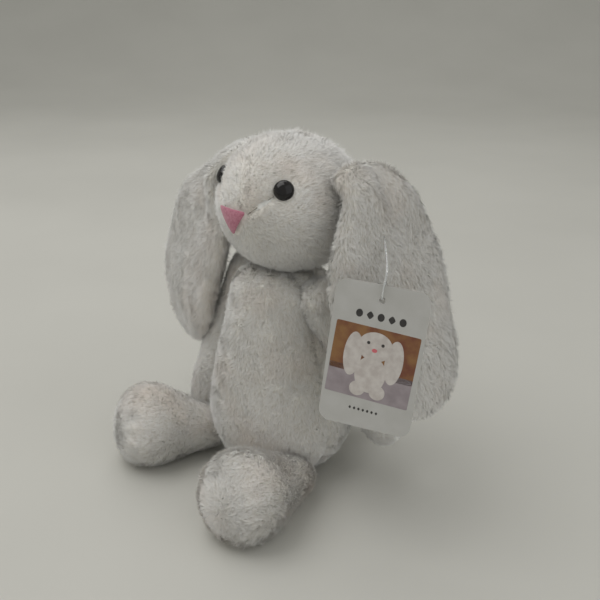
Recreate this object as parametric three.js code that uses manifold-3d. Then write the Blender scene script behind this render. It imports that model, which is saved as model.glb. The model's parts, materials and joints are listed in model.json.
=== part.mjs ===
import * as THREE from "three";
import { mergeVertices } from "three/addons/utils/BufferGeometryUtils.js";
import Module from "manifold-3d";

// A sitting plush bunny, in millimetres, +Z up. It faces -Y and its own left is +X.
// The origin is the centre of the flat patch of seat that it sits on.

const wasm = await Module();
wasm.setup();

const FABRIC = 2.4; // plush cloth with its pile pressed down
const GAP = 0.4; // clearance between neighbouring solids
const ON_AXIS = 1e-6; // a turned outline this near its axis is on it

// The body is one turned bag with its neck open at the top: [radius, height].
const BODY_OUTLINE = [
  [0, 0], [16, 0], [25, 2.6], [33, 8.5], [40, 17.5], [45, 31], [46, 44],
  [44, 60], [40, 78], [34.5, 95], [28.5, 110], [21.5, 123.5], [12.5, 132.5],
];
const SEAT_RADIUS = 16;
const PELLET_TOP = 24; // pellets weigh down the seat, and fibre fills the rest
const STUFFING_TOP = 119;

const NECK = { radius: 8.5, low: 122.5, high: 148, pivot: 137 };

// The head turns on the neck's pivot inside a hollow in its filling.
const HEAD = { centre: [0, 6, 180], radii: [45.5, 44.5, 41.5], neckHole: 13.5, cavity: 15, headroom: 3 };

// A safety eye is a dome on a post that a washer grips inside the head.
const EYE = { x: 28.6, z: 17.5, radius: 6, height: 4.4, rim: 0.5, post: 1.6, reach: 10.5 };
const WASHER = { inner: 1.95, outer: 6.4, depth: 3.5, thickness: 1.6 };
const NOSE = { halfWidth: 11.5, top: 3.6, bottom: -13, thickness: 0.9, roundness: 9 };

// Each ear is two flat panels sewn edge to edge, which leave the head outwards and droop.
// Angles are degrees below level: as it leaves the head, as it hangs, and at its tip.
const EAR = { length: 156, halfWidth: 39, panel: 3.4, root: [44.5, 18, 206], cup: 5 };
const EAR_DRAPE = {
  left: { heading: -12, leave: 20, hang: 71, flare: 52, bend: 34 },
  right: { heading: 195, leave: 5, hang: 70, flare: 66, bend: 45 },
};

// Arms: shoulder and paw centres, with the radius along the arm as [radius, distance].
const ARM_OUTLINE = [
  [4, -8.2], [7.4, -6], [9, 0], [9.8, 22], [11.2, 54], [12.8, 84], [12.4, 98], [8.4, 108], [0, 112],
];
const ARM_SHOULDER = [38, 3, 121];
const ARM_TIP = { left: [63, 42, 27], right: [71, -19, 14] };

// Legs: [radius, distance from the hip], ending in the rim that the sole closes.
const LEG_OUTLINE = [
  [5, -12], [10.5, -8], [13, 0], [14.8, 10], [19, 21], [23.6, 31], [25.2, 41], [23.4, 50], [19.6, 55.2],
];
const LEG_HIP = { reach: 54.8, angle: 52, height: 17.4 };
const LEG_PITCH = 11.5;
const LEG_SPLAY = { left: 6, right: 25 };
const SOLE = { radius: 19, rim: 55.7, thickness: 1.9, crown: 1.6 };

const TAIL = { radius: 12, height: 32, opening: 4.5 };

const CARD = { width: 52, height: 82, thickness: 0.5, corner: 6.5, hole: 1.9, holeDrop: 8.5 };
const CARD_POSE = { centre: [98.5, -21, 117], yaw: 30, roll: -4.6, lean: 9 };
const LOOP = { radius: 0.45, pierce: 45 };

// How finely each shape is cut: sides round it, and rows or steps along it.
const DETAIL = {
  body: 28, bodySteps: 22, filling: 20, neck: 16, tail: 14, tailSteps: 8, head: 30, headRows: 20,
  headFilling: 22, headFillingRows: 14, eye: 20, eyeSteps: 5, washer: 16, nose: 30, ear: 14, earRows: 18,
  droop: 40, arm: 14, armFilling: 10, leg: 20, legFilling: 14, limbSteps: 14, soleSteps: 4, loopSteps: 30,
};

const rad = THREE.MathUtils.degToRad;
const root = new THREE.Group();

function finish(color, roughness) {
  return new THREE.MeshStandardMaterial({ color, roughness, metalness: 0 });
}

const PLUSH = () => finish(0xe9e7de, 1);
const FILL = () => finish(0xf7f6f2, 1);
const PELLETS = () => finish(0xd8d4c8, 0.7);
const GLOSS = () => finish(0x0b0a0a, 0.1);
const HARD = () => finish(0xe6e6e4, 0.5);
const FELT = () => finish(0xd98c9a, 0.95);
const CARDSTOCK = () => finish(0xf4f3f0, 0.6);
const NYLON = () => finish(0xdfe3e4, 0.3);

function addMesh(name, geometry, material) {
  const mesh = new THREE.Mesh(geometry, material);
  mesh.name = name;
  root.add(mesh);
  return mesh;
}

// ---- solids ----

function toSolid(geometry) {
  const bare = geometry.clone();
  bare.deleteAttribute("normal");
  bare.deleteAttribute("uv");
  const merged = mergeVertices(bare, 1e-4);
  return new wasm.Manifold(new wasm.Mesh({
    numProp: 3,
    vertProperties: new Float32Array(merged.attributes.position.array),
    triVerts: new Uint32Array(merged.index.array),
  }));
}

function toGeometry(solid) {
  const mesh = solid.getMesh();
  const geometry = new THREE.BufferGeometry();
  geometry.setAttribute("position", new THREE.BufferAttribute(mesh.vertProperties, 3));
  geometry.setIndex(new THREE.BufferAttribute(mesh.triVerts, 1));
  return geometry;
}

function deform(geometry, place) {
  const positions = geometry.attributes.position;
  const point = new THREE.Vector3();
  for (let i = 0; i < positions.count; i += 1) {
    point.fromBufferAttribute(positions, i);
    place(point);
    positions.setXYZ(i, point.x, point.y, point.z);
  }
  return geometry;
}

// Turns geometry so that its +Y runs along the given direction, then moves it to a point.
function along(geometry, direction, at) {
  const turn = new THREE.Quaternion().setFromUnitVectors(new THREE.Vector3(0, 1, 0), direction);
  return geometry.applyQuaternion(turn).translate(at.x, at.y, at.z);
}

// ---- turned shapes ----

function smoothOutline(outline, steps) {
  return new THREE.SplineCurve(outline.map((p) => new THREE.Vector2(...p))).getPoints(steps);
}

// Moves a turned outline inwards by a distance, square to itself.
function inset(points, distance) {
  return points.map((point, i) => {
    const before = points[Math.max(i - 1, 0)];
    const after = points[Math.min(i + 1, points.length - 1)];
    const tangent = after.clone().sub(before).normalize();
    const moved = new THREE.Vector2(point.x - tangent.y * distance, point.y + tangent.x * distance);
    moved.x = point.x < ON_AXIS ? 0 : Math.max(moved.x, 0);
    return moved;
  });
}

// A sewn skin: the outline, and the same outline one fabric thickness in.
function turnedSkin(points, around) {
  const inner = inset(points, FABRIC).reverse();
  const ring = [...points, ...inner];
  if (points[0].x > ON_AXIS) {
    ring.push(points[0].clone());
  }
  return new THREE.LatheGeometry(ring, around);
}

// The filling inside such a skin, between two distances along its axis.
function turnedFilling(points, low, high, around) {
  const wall = inset(points, FABRIC + GAP).filter((p) => p.x > 1);
  const kept = wall.filter((p) => p.y > low && p.y < high);
  const cut = (y) => {
    const next = Math.max(wall.findIndex((p) => p.y > y), 1);
    const share = (y - wall[next - 1].y) / (wall[next].y - wall[next - 1].y);
    return wall[next - 1].clone().lerp(wall[next], THREE.MathUtils.clamp(share, 0, 1));
  };
  if (wall[0].y < low) {
    kept.unshift(cut(low));
  }
  if (wall[wall.length - 1].y > high) {
    kept.push(cut(high));
  }
  const first = new THREE.Vector2(0, kept[0].y);
  const last = new THREE.Vector2(0, kept[kept.length - 1].y);
  return new THREE.LatheGeometry([first, ...kept, last], around);
}

// ---- body ----

function addBody() {
  const outline = smoothOutline(BODY_OUTLINE, DETAIL.bodySteps);
  const flat = [new THREE.Vector2(0, 0), new THREE.Vector2(SEAT_RADIUS, 0)];
  const seated = [...flat, ...outline.filter((p) => p.x > SEAT_RADIUS + 1 || p.y > PELLET_TOP)];
  seated.forEach((p) => {
    p.y = Math.max(p.y, 0);
  });
  const floor = FABRIC + GAP;
  addMesh("body_skin", turnedSkin(seated, DETAIL.body).rotateX(Math.PI / 2), PLUSH());
  const pellets = turnedFilling(seated, floor, PELLET_TOP, DETAIL.filling);
  addMesh("pellet_bag", pellets.rotateX(Math.PI / 2), PELLETS());
  const stuffing = turnedFilling(seated, PELLET_TOP + GAP, STUFFING_TOP, DETAIL.filling);
  addMesh("body_stuffing", stuffing.rotateX(Math.PI / 2), FILL());
  const length = NECK.high - NECK.low;
  const neck = new THREE.CylinderGeometry(NECK.radius, NECK.radius, length, DETAIL.neck);
  addMesh("neck_stuffing", neck.rotateX(Math.PI / 2).translate(0, 0, NECK.low + length / 2), FILL());
}

function addTail() {
  const fine = smoothOutline(BODY_OUTLINE, 80);
  const waist = fine.find((p) => p.y > TAIL.height && p.x > SEAT_RADIUS).x;
  const start = Math.asin(TAIL.opening / TAIL.radius);
  const outline = [];
  for (let i = 0; i < DETAIL.tailSteps; i += 1) {
    const angle = start + ((Math.PI - start) * i) / DETAIL.tailSteps;
    outline.push(new THREE.Vector2(Math.sin(angle) * TAIL.radius, -Math.cos(angle) * TAIL.radius));
  }
  outline.push(new THREE.Vector2(0, TAIL.radius));
  const centre = new THREE.Vector3(0, waist + TAIL.radius + GAP, TAIL.height);
  const back = new THREE.Vector3(0, 1, 0);
  addMesh("tail_skin", along(turnedSkin(outline, DETAIL.tail), back, centre), PLUSH());
  const fill = new THREE.SphereGeometry(TAIL.radius - FABRIC - GAP, 12, 8);
  addMesh("tail_stuffing", along(fill, back, centre), FILL());
}

// ---- head ----

// The head's surface, taken in by a distance.
function headGeometry(takenIn, around, rows) {
  const ball = new THREE.SphereGeometry(1, around, rows).rotateX(Math.PI / 2);
  return ball.scale(...HEAD.radii.map((r) => r - takenIn)).translate(...HEAD.centre);
}

// Where the front of the head is at an x and a height from its centre.
function faceAt(x, z) {
  const [a, b, c] = HEAD.radii;
  const depth = Math.sqrt(1 - (x / a) ** 2 - (z / c) ** 2);
  const point = new THREE.Vector3(x, -depth * b, z);
  const normal = new THREE.Vector3(x / (a * a), -depth / b, z / (c * c)).normalize();
  return { point: point.add(new THREE.Vector3(...HEAD.centre)), normal };
}

function eyeAxis(side) {
  const { point, normal } = faceAt(EYE.x, EYE.z);
  point.x *= side;
  normal.x *= side;
  return { point, normal };
}

function rod(radius, from, to, axis, around) {
  const middle = axis.point.clone().addScaledVector(axis.normal, (from + to) / 2);
  const shape = new THREE.CylinderGeometry(radius, radius, Math.abs(to - from), around);
  return toSolid(along(shape, axis.normal, middle));
}

function addEye(name, side) {
  const axis = eyeAxis(side);
  const profile = [new THREE.Vector2(0, -EYE.reach), new THREE.Vector2(EYE.post, -EYE.reach)];
  profile.push(new THREE.Vector2(EYE.post, GAP), new THREE.Vector2(EYE.radius - EYE.rim, GAP));
  for (let i = 0; i < DETAIL.eyeSteps; i += 1) {
    const angle = ((Math.PI / 2) * i) / DETAIL.eyeSteps;
    const rise = GAP + EYE.rim + Math.sin(angle) * (EYE.height - EYE.rim);
    profile.push(new THREE.Vector2(Math.cos(angle) * EYE.radius, rise));
  }
  profile.push(new THREE.Vector2(0, GAP + EYE.height));
  const dome = new THREE.LatheGeometry(profile, DETAIL.eye);
  addMesh(`eye_${name}`, along(dome, axis.normal, axis.point), GLOSS());
  const { inner, outer, depth, thickness } = WASHER;
  const ring = [
    new THREE.Vector2(inner, -depth - thickness), new THREE.Vector2(outer, -depth - thickness),
    new THREE.Vector2(outer, -depth), new THREE.Vector2(inner, -depth),
    new THREE.Vector2(inner, -depth - thickness),
  ];
  const washer = new THREE.LatheGeometry(ring, DETAIL.washer);
  addMesh(`eye_washer_${name}`, along(washer, axis.normal, axis.point), HARD());
}

function addHead() {
  const hole = new THREE.CylinderGeometry(HEAD.neckHole, HEAD.neckHole, 40, 20).rotateX(Math.PI / 2);
  const cavity = new THREE.CylinderGeometry(HEAD.cavity, HEAD.cavity, 40, 16).rotateX(Math.PI / 2);
  hole.translate(0, 0, NECK.pivot);
  cavity.translate(0, 0, NECK.high + HEAD.headroom - 20);
  const { head, headRows, headFilling, headFillingRows } = DETAIL;
  let skin = toSolid(headGeometry(0, head, headRows));
  skin = skin.subtract(toSolid(headGeometry(FABRIC, head, headRows))).subtract(toSolid(hole));
  let filling = toSolid(headGeometry(FABRIC + GAP, headFilling, headFillingRows));
  filling = filling.subtract(toSolid(cavity));
  for (const side of [1, -1]) {
    const axis = eyeAxis(side);
    skin = skin.subtract(rod(EYE.post + GAP, -8, 4, axis, 12));
    filling = filling.subtract(rod(WASHER.outer + 1, -EYE.reach - 1, 4, axis, 14));
  }
  addMesh("head_skin", toGeometry(skin), PLUSH());
  addMesh("head_stuffing", toGeometry(filling), FILL());
  addEye("left", 1);
  addEye("right", -1);
}

// A rounded triangle of felt, laid on the muzzle.
function addNose() {
  const { halfWidth, top, bottom, thickness, roundness } = NOSE;
  const side = new THREE.Vector2(top - bottom, -halfWidth);
  const edges = [new THREE.Vector2(0, 1 / top)];
  for (const sign of [1, -1]) {
    const reach = (side.x * halfWidth + side.y * top) / side.length();
    edges.push(new THREE.Vector2(sign * side.x, side.y).divideScalar(side.length() * reach));
  }
  const rings = [0, 0.35, 0.7, 1];
  const profile = rings.map((r) => new THREE.Vector2(r, thickness));
  profile.push(...[...rings].reverse().map((r) => new THREE.Vector2(r, 0)));
  const patch = deform(new THREE.LatheGeometry(profile, DETAIL.nose), (p) => {
    const flat = new THREE.Vector2(p.x, p.z);
    const crossed = edges.reduce((sum, edge) => sum + Math.max(edge.dot(flat), 0) ** roundness, 0);
    const stretch = crossed > 0 ? flat.length() / crossed ** (1 / roundness) : 0;
    const { point, normal } = faceAt(flat.x * stretch, flat.y * stretch);
    p.copy(point.addScaledVector(normal, 2 * GAP + p.y));
  });
  addMesh("nose", patch, FELT());
}

// ---- ears ----

// How steeply an ear runs down at a distance from its root, in radians.
function earSlope(side, s) {
  const { leave, hang, flare, bend } = EAR_DRAPE[side];
  const bent = THREE.MathUtils.smoothstep(s, 0, bend);
  const lifted = THREE.MathUtils.smoothstep(s, 0.6 * EAR.length, EAR.length);
  return rad(leave + (hang - leave) * bent - (hang - flare) * lifted);
}

function earFrame(side, s) {
  const heading = rad(EAR_DRAPE[side].heading);
  const out = new THREE.Vector3(Math.cos(heading), Math.sin(heading), 0);
  const up = new THREE.Vector3(0, 0, 1);
  const sign = side === "left" ? 1 : -1;
  const point = new THREE.Vector3(sign * EAR.root[0], EAR.root[1], EAR.root[2]);
  const steps = DETAIL.droop;
  for (let i = 0; i < steps; i += 1) {
    const slope = earSlope(side, (s * (i + 0.5)) / steps);
    point.addScaledVector(out, (Math.cos(slope) * s) / steps);
    point.addScaledVector(up, (-Math.sin(slope) * s) / steps);
  }
  const slope = earSlope(side, s);
  const normal = out.clone().multiplyScalar(Math.sin(slope)).addScaledVector(up, Math.cos(slope));
  const across = new THREE.Vector3().crossVectors(up, out);
  return { point, normal, across };
}

// An ear's half width, as a share of its widest: blunt where it is sewn on, and round at the tip.
function earWidth(t) {
  const swell = 0.56 + 0.44 * THREE.MathUtils.smoothstep(t, 0, 0.6);
  const blunt = Math.min(1, Math.sqrt(t / 0.05));
  const round = Math.sqrt(1 - Math.max(0, (t - 0.62) / 0.38) ** 2);
  return swell * blunt * round;
}

// One ear panel: a flattened ball, widest near its tip, carried along the drooping centre line.
function earPanel(side, offset) {
  return deform(new THREE.SphereGeometry(1, DETAIL.ear, DETAIL.earRows), (p) => {
    const t = THREE.MathUtils.clamp((1 - p.y) / 2, 0, 1);
    const girth = Math.sqrt(Math.max(1 - p.y * p.y, 1e-9));
    const { point, normal, across } = earFrame(side, t * EAR.length);
    const share = (p.x / girth) * earWidth(t);
    point.addScaledVector(across, share * EAR.halfWidth);
    p.copy(point.addScaledVector(normal, offset + (p.z * EAR.panel) / 2 - EAR.cup * share ** 2));
  });
}

function addEar(side) {
  const offset = (EAR.panel + GAP) / 2;
  addMesh(`ear_back_${side}`, earPanel(side, offset), PLUSH());
  addMesh(`ear_lining_${side}`, earPanel(side, -offset), PLUSH());
}

// ---- limbs ----

function sided(point, side) {
  return new THREE.Vector3(side === "left" ? point[0] : -point[0], point[1], point[2]);
}

function addArm(side) {
  const shoulder = sided(ARM_SHOULDER, side);
  const direction = sided(ARM_TIP[side], side).sub(shoulder).normalize();
  const outline = smoothOutline(ARM_OUTLINE, DETAIL.limbSteps);
  const last = outline[outline.length - 1];
  last.x = 0;
  const skin = turnedSkin(outline, DETAIL.arm);
  addMesh(`arm_skin_${side}`, along(skin, direction, shoulder), PLUSH());
  const filling = turnedFilling(outline, outline[0].y, last.y, DETAIL.armFilling);
  addMesh(`arm_stuffing_${side}`, along(filling, direction, shoulder), FILL());
}

function legDirection(side) {
  const splay = rad(LEG_SPLAY[side]) * (side === "left" ? 1 : -1);
  const flat = Math.cos(rad(LEG_PITCH));
  return new THREE.Vector3(Math.sin(splay) * flat, -Math.cos(splay) * flat, Math.sin(rad(LEG_PITCH)));
}

function addLeg(side) {
  const direction = legDirection(side);
  const { reach, angle, height } = LEG_HIP;
  const hip = sided([reach * Math.sin(rad(angle)), -reach * Math.cos(rad(angle)), height], side);
  const outline = smoothOutline(LEG_OUTLINE, DETAIL.limbSteps);
  const last = outline[outline.length - 1].y;
  addMesh(`leg_skin_${side}`, along(turnedSkin(outline, DETAIL.leg), direction, hip), PLUSH());
  const filling = turnedFilling(outline, outline[0].y, last - 2 * SOLE.thickness, DETAIL.legFilling);
  addMesh(`leg_stuffing_${side}`, along(filling, direction, hip), FILL());
  const { radius, rim, thickness, crown } = SOLE;
  const disc = [new THREE.Vector2(0, rim), new THREE.Vector2(radius - GAP, rim)];
  for (let i = 0; i <= DETAIL.soleSteps; i += 1) {
    const r = radius * (1 - i / DETAIL.soleSteps);
    disc.push(new THREE.Vector2(r, rim + thickness + crown * (1 - (r / radius) ** 2)));
  }
  const sole = new THREE.LatheGeometry(disc, DETAIL.leg);
  addMesh(`sole_${side}`, along(sole, direction, hip), PLUSH());
}

// ---- hang tag ----

function cardMatrix() {
  const { centre, yaw, roll, lean } = CARD_POSE;
  return new THREE.Matrix4().makeTranslation(...centre)
    .multiply(new THREE.Matrix4().makeRotationZ(rad(yaw)))
    .multiply(new THREE.Matrix4().makeRotationX(rad(90 - lean)))
    .multiply(new THREE.Matrix4().makeRotationZ(rad(roll)));
}

function addTag() {
  const { width, height, thickness, corner, hole, holeDrop } = CARD;
  const w = width / 2;
  const h = height / 2;
  const shape = new THREE.Shape();
  shape.moveTo(-w + corner, -h);
  shape.absarc(w - corner, -h + corner, corner, -Math.PI / 2, 0);
  shape.absarc(w - corner, h - corner, corner, 0, Math.PI / 2);
  shape.absarc(-w + corner, h - corner, corner, Math.PI / 2, Math.PI);
  shape.absarc(-w + corner, -h + corner, corner, Math.PI, 1.5 * Math.PI);
  shape.holes.push(new THREE.Path().absarc(0, h - holeDrop, hole, 0, 2 * Math.PI, true));
  const card = new THREE.ExtrudeGeometry(shape, { depth: thickness, bevelEnabled: false, curveSegments: 6 });
  card.translate(0, 0, -thickness / 2).applyMatrix4(cardMatrix());
  addMesh("hang_tag", card, CARDSTOCK());

  const eyelet = new THREE.Vector3(0, h - holeDrop, 0).applyMatrix4(cardMatrix());
  const facing = new THREE.Vector3(0, 0, 1).transformDirection(cardMatrix());
  const up = new THREE.Vector3(0, 1, 0).transformDirection(cardMatrix());
  const { point, normal } = earFrame("left", LOOP.pierce);
  const ear = point.addScaledVector(normal, EAR.panel + 3 * GAP);
  const strand = (distance, rise) => (
    eyelet.clone().addScaledVector(facing, distance).addScaledVector(up, rise)
  );
  const loop = new THREE.CatmullRomCurve3([
    ear,
    strand(0.2, holeDrop + 8),
    strand(1.5, holeDrop + 1),
    strand(1.6, 2),
    eyelet,
    strand(-1.6, 2),
    strand(-1.7, holeDrop + 1),
    strand(-1.8, holeDrop + 7),
    ear.clone().add(new THREE.Vector3(0, 0, -3)),
  ]);
  const section = new THREE.Shape().absarc(0, 0, LOOP.radius, 0, 2 * Math.PI);
  const tube = { steps: DETAIL.loopSteps, extrudePath: loop, curveSegments: 3 };
  addMesh("tag_loop", new THREE.ExtrudeGeometry(section, tube), NYLON());
}

addBody();
addTail();
addHead();
addNose();
for (const side of ["left", "right"]) {
  addEar(side);
  addArm(side);
  addLeg(side);
}
addTag();

export default root;
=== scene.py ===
"""A sitting white plush bunny with a hang tag on one ear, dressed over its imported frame.

Everything is in metres, +Z up. The bunny faces -Y and its own left is +X. Covers are padded cloth skins that
a short pressure simulation swells, and the pile is a coat of thin blades combed over them.
"""

import json
import logging
import math
from dataclasses import dataclass
from enum import Enum
from typing import Callable, Optional, Sequence

import bpy
import numpy as np
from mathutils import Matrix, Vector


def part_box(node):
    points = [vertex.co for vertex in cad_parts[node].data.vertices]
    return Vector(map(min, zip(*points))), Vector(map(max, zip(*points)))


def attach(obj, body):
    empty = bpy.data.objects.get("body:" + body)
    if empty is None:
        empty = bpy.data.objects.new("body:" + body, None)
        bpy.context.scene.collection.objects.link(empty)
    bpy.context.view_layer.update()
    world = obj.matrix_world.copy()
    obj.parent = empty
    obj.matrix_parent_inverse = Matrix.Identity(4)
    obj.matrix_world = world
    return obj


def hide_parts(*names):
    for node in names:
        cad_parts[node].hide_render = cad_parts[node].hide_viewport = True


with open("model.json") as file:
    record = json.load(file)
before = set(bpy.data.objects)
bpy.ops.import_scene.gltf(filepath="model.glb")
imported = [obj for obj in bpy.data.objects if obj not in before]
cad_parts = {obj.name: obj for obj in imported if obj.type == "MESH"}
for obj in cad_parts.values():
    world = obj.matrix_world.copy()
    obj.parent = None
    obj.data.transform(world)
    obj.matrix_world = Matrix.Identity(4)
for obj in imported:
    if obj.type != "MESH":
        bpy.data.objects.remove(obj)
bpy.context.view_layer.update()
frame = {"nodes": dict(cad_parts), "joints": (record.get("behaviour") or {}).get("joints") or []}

MM = 0.001
UP = np.array([0.0, 0.0, 1.0])
LEFTWARDS = np.array([1.0, 0.0, 0.0])
BACKWARDS = np.array([0.0, 1.0, 0.0])
LOG = logging.getLogger("bunny")

Array = np.ndarray


class Side(Enum):
    """The bunny's own left and right."""

    LEFT = "left"
    RIGHT = "right"

    @property
    def sign(self) -> float:
        """+1 on the bunny's left, where X is positive, and -1 on its right."""
        return 1.0 if self is Side.LEFT else -1.0


# ---------------------------------------------------------------- frame


def joint(name: str) -> dict:
    """The record's joint of that name."""
    return next(j for j in frame["joints"] if j["name"] == name)


def node_box(node: str) -> tuple[Array, Array]:
    """Lowest and highest corner of a CAD node as arrays."""
    low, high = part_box(node)
    return np.array(low), np.array(high)


def node_points(node: str) -> Array:
    """The corner points of a CAD node.

    Args:
        node: the node's name.

    Returns:
        One row for each point, shape (n, 3).
    """
    mesh = frame["nodes"][node].data
    flat = np.empty(len(mesh.vertices) * 3)
    mesh.vertices.foreach_get("co", flat)
    return flat.reshape(-1, 3)


def unit(vectors: Array) -> Array:
    """The vectors at length one, whether there is one or a row of them."""
    return vectors / np.maximum(np.linalg.norm(vectors, axis=-1, keepdims=True), 1e-12)


# ---------------------------------------------------------------- noise


def hashed(cells: Array, seed: int) -> Array:
    """Three numbers from 0 to 1 for each whole-number cell, by mixing its three indices with large primes.

    Args:
        cells: whole numbers, shape (n, 3).
        seed: picks one of many patterns.

    Returns:
        Values of shape (n, 3).
    """
    i = cells.astype(np.int64)
    base = (i[:, 0] * 73856093) ^ (i[:, 1] * 19349663) ^ (i[:, 2] * 83492791) ^ (seed * 2654435761)
    out = np.empty((len(i), 3))
    for k in range(3):
        h = (base + k * 0x9E3779B9) & 0xFFFFFFFF
        h = ((h ^ (h >> 16)) * 0x45D9F3B) & 0xFFFFFFFF
        h = ((h ^ (h >> 16)) * 0x45D9F3B) & 0xFFFFFFFF
        out[:, k] = ((h ^ (h >> 16)) & 0xFFFFFF) / float(0xFFFFFF)
    return out


def swirl(points: Array, cell: float, seed: int) -> Array:
    """Smooth random vectors: each cell corner holds one, and a point blends its eight corners by an S curve.

    Args:
        points: places, shape (n, 3).
        cell: size of the swirls in metres.
        seed: picks one of many patterns.

    Returns:
        Vectors with parts from -1 to 1, shape (n, 3).
    """
    q = points / cell
    low = np.floor(q)
    f = q - low
    f = f * f * (3 - 2 * f)
    total = np.zeros_like(points)
    for corner in np.ndindex(2, 2, 2):
        c = np.array(corner)
        weight = np.prod(np.where(c == 1, f, 1 - f), axis=1)
        total += weight[:, None] * (2 * hashed(low + c, seed) - 1)
    return total


def to_tuft(points: Array, cell: float, seed: int) -> Array:
    """The way from each point to its nearest tuft centre, one centre being scattered in each cell.

    Args:
        points: places, shape (n, 3).
        cell: mean distance between tufts in metres.
        seed: picks one of many patterns.

    Returns:
        Vectors of shape (n, 3).
    """
    q = points / cell
    low = np.floor(q)
    best = np.full(len(q), np.inf)
    way = np.zeros_like(q)
    for step in np.ndindex(3, 3, 3):
        centre = low + np.array(step) - 1
        offset = centre + hashed(centre, seed) - q
        far = np.einsum("ij,ij->i", offset, offset)
        nearer = far < best
        best[nearer] = far[nearer]
        way[nearer] = offset[nearer]
    return way * cell


def smooth_step(value: Array, low: float, high: float) -> Array:
    """0 below low, 1 above high and an S curve between."""
    t = np.clip((value - low) / (high - low), 0, 1)
    return t * t * (3 - 2 * t)


# ---------------------------------------------------------------- meshes


def put_mesh(
    name: str, points: Array, faces: Sequence[Sequence[int]], smooth: bool = True,
) -> bpy.types.Object:
    """A mesh object at the origin from points and faces, with its faces turned outwards.

    Args:
        name: the piece's name.
        points: shape (n, 3), in metres.
        faces: rows of point indices.
        smooth: whether it is shaded smooth.

    Returns:
        The new object.
    """
    mesh = bpy.data.meshes.new(name)
    mesh.from_pydata(points.tolist(), [], [list(f) for f in faces])
    mesh.update()
    mesh.polygons.foreach_set("use_smooth", [smooth] * len(mesh.polygons))
    obj = bpy.data.objects.new(name, mesh)
    bpy.context.collection.objects.link(obj)
    if signed_volume(mesh) < 0:
        mesh.flip_normals()
    return obj


def corners(mesh: bpy.types.Mesh) -> tuple[Array, Array]:
    """A mesh's points and triangles as arrays.

    Args:
        mesh: any mesh.

    Returns:
        The points, shape (n, 3), and the triangles' point indices, shape (m, 3).
    """
    flat = np.empty(len(mesh.vertices) * 3)
    mesh.vertices.foreach_get("co", flat)
    mesh.calc_loop_triangles()
    tris = np.empty(len(mesh.loop_triangles) * 3, dtype=np.int32)
    mesh.loop_triangles.foreach_get("vertices", tris)
    return flat.reshape(-1, 3), tris.reshape(-1, 3)


def signed_volume(mesh: bpy.types.Mesh) -> float:
    """The volume that a mesh encloses, as the sum of the tetrahedra from the origin to its triangles.

    Args:
        mesh: a closed mesh.

    Returns:
        Cubic metres, negative if its faces point inwards.
    """
    points, tris = corners(mesh)
    a, b, c = (points[tris[:, k]] for k in range(3))
    return float(np.einsum("ij,ij->i", a, np.cross(b, c)).sum() / 6)


def ring_faces(count: int, around: int) -> list[list[int]]:
    """Faces of a closed skin made of rings and two poles, whose points come ring by ring and then the poles.

    Args:
        count: how many rings there are.
        around: points in each ring.

    Returns:
        Rows of point indices: squares between the rings and triangles at the poles.
    """
    i, j = np.meshgrid(np.arange(count - 1), np.arange(around), indexing="ij")
    k = (j + 1) % around
    quads = np.stack([i * around + j, i * around + k, (i + 1) * around + k, (i + 1) * around + j], -1)
    ring = np.arange(around)
    after = (ring + 1) % around
    first = np.stack([np.full(around, count * around), after, ring], -1)
    last_ring = (count - 1) * around
    last = np.stack([np.full(around, count * around + 1), last_ring + ring, last_ring + after], -1)
    return quads.reshape(-1, 4).tolist() + first.tolist() + last.tolist()


def loft(
    name: str, centres: Array, across: Array, over: Array, half_across: Array, half_over: Array,
    around: int = 36, pinch: float = 1.0,
) -> bpy.types.Object:
    """A closed body carried along a centre line.

    At each station, a point at angle a sits at centre + across * A * cos(a) + over * B * sin(a), where the
    sine is raised to the power pinch so that the two edges can be drawn thin or full. The first and last
    stations are poles.

    Args:
        name: the piece's name.
        centres: stations along the line, shape (n, 3).
        across: the section's first direction, one for all or one for each station.
        over: the section's second direction, one for all or one for each station.
        half_across: half width along across, shape (n,), in metres.
        half_over: half width along over, shape (n,), in metres.
        around: points round each section.
        pinch: 1 for an ellipse, more for thin edges, less for full ones.

    Returns:
        The new object.
    """
    across, over = np.broadcast_to(across, centres.shape), np.broadcast_to(over, centres.shape)
    angle = np.linspace(0, 2 * math.pi, around, endpoint=False)
    flat, tall = np.cos(angle), np.sin(angle)
    tall = np.sign(tall) * np.abs(tall) ** pinch
    rings = (
        centres[1:-1, None, :]
        + across[1:-1, None, :] * (half_across[1:-1, None, None] * flat[None, :, None])
        + over[1:-1, None, :] * (half_over[1:-1, None, None] * tall[None, :, None])
    )
    points = np.concatenate([rings.reshape(-1, 3), centres[:1], centres[-1:]])
    return put_mesh(name, points, ring_faces(len(rings), around))


def outline(knots: Sequence[tuple[float, float]], count: int) -> tuple[Array, Array]:
    """Points along a smooth outline through a few knots, by Catmull-Rom interpolation.

    Args:
        knots: (radius, distance) pairs in millimetres.
        count: how many points to return.

    Returns:
        Radii and distances in metres.
    """
    k = np.array(knots, dtype=float) * MM
    padded_knots = np.concatenate([2 * k[:1] - k[1:2], k, 2 * k[-1:] - k[-2:-1]])
    t = np.linspace(0, len(k) - 1, count)
    i = np.minimum(t.astype(int), len(k) - 2)
    f = (t - i)[:, None]
    a, b, c, d = (padded_knots[i + n] for n in range(4))
    curve = 0.5 * (2 * b + (c - a) * f + (2 * a - 5 * b + 4 * c - d) * f**2 + (3 * b - a - 3 * c + d) * f**3)
    return np.maximum(curve[:, 0], 0), curve[:, 1]


def evaluated_copy(obj: bpy.types.Object) -> None:
    """Replaces an object's mesh by the mesh that its modifiers make, and drops the modifiers.

    Args:
        obj: the object, which keeps its name and place.
    """
    graph = bpy.context.evaluated_depsgraph_get()
    mesh = bpy.data.meshes.new_from_object(obj.evaluated_get(graph))
    obj.modifiers.clear()
    old = obj.data
    obj.data = mesh
    bpy.data.meshes.remove(old)


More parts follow.
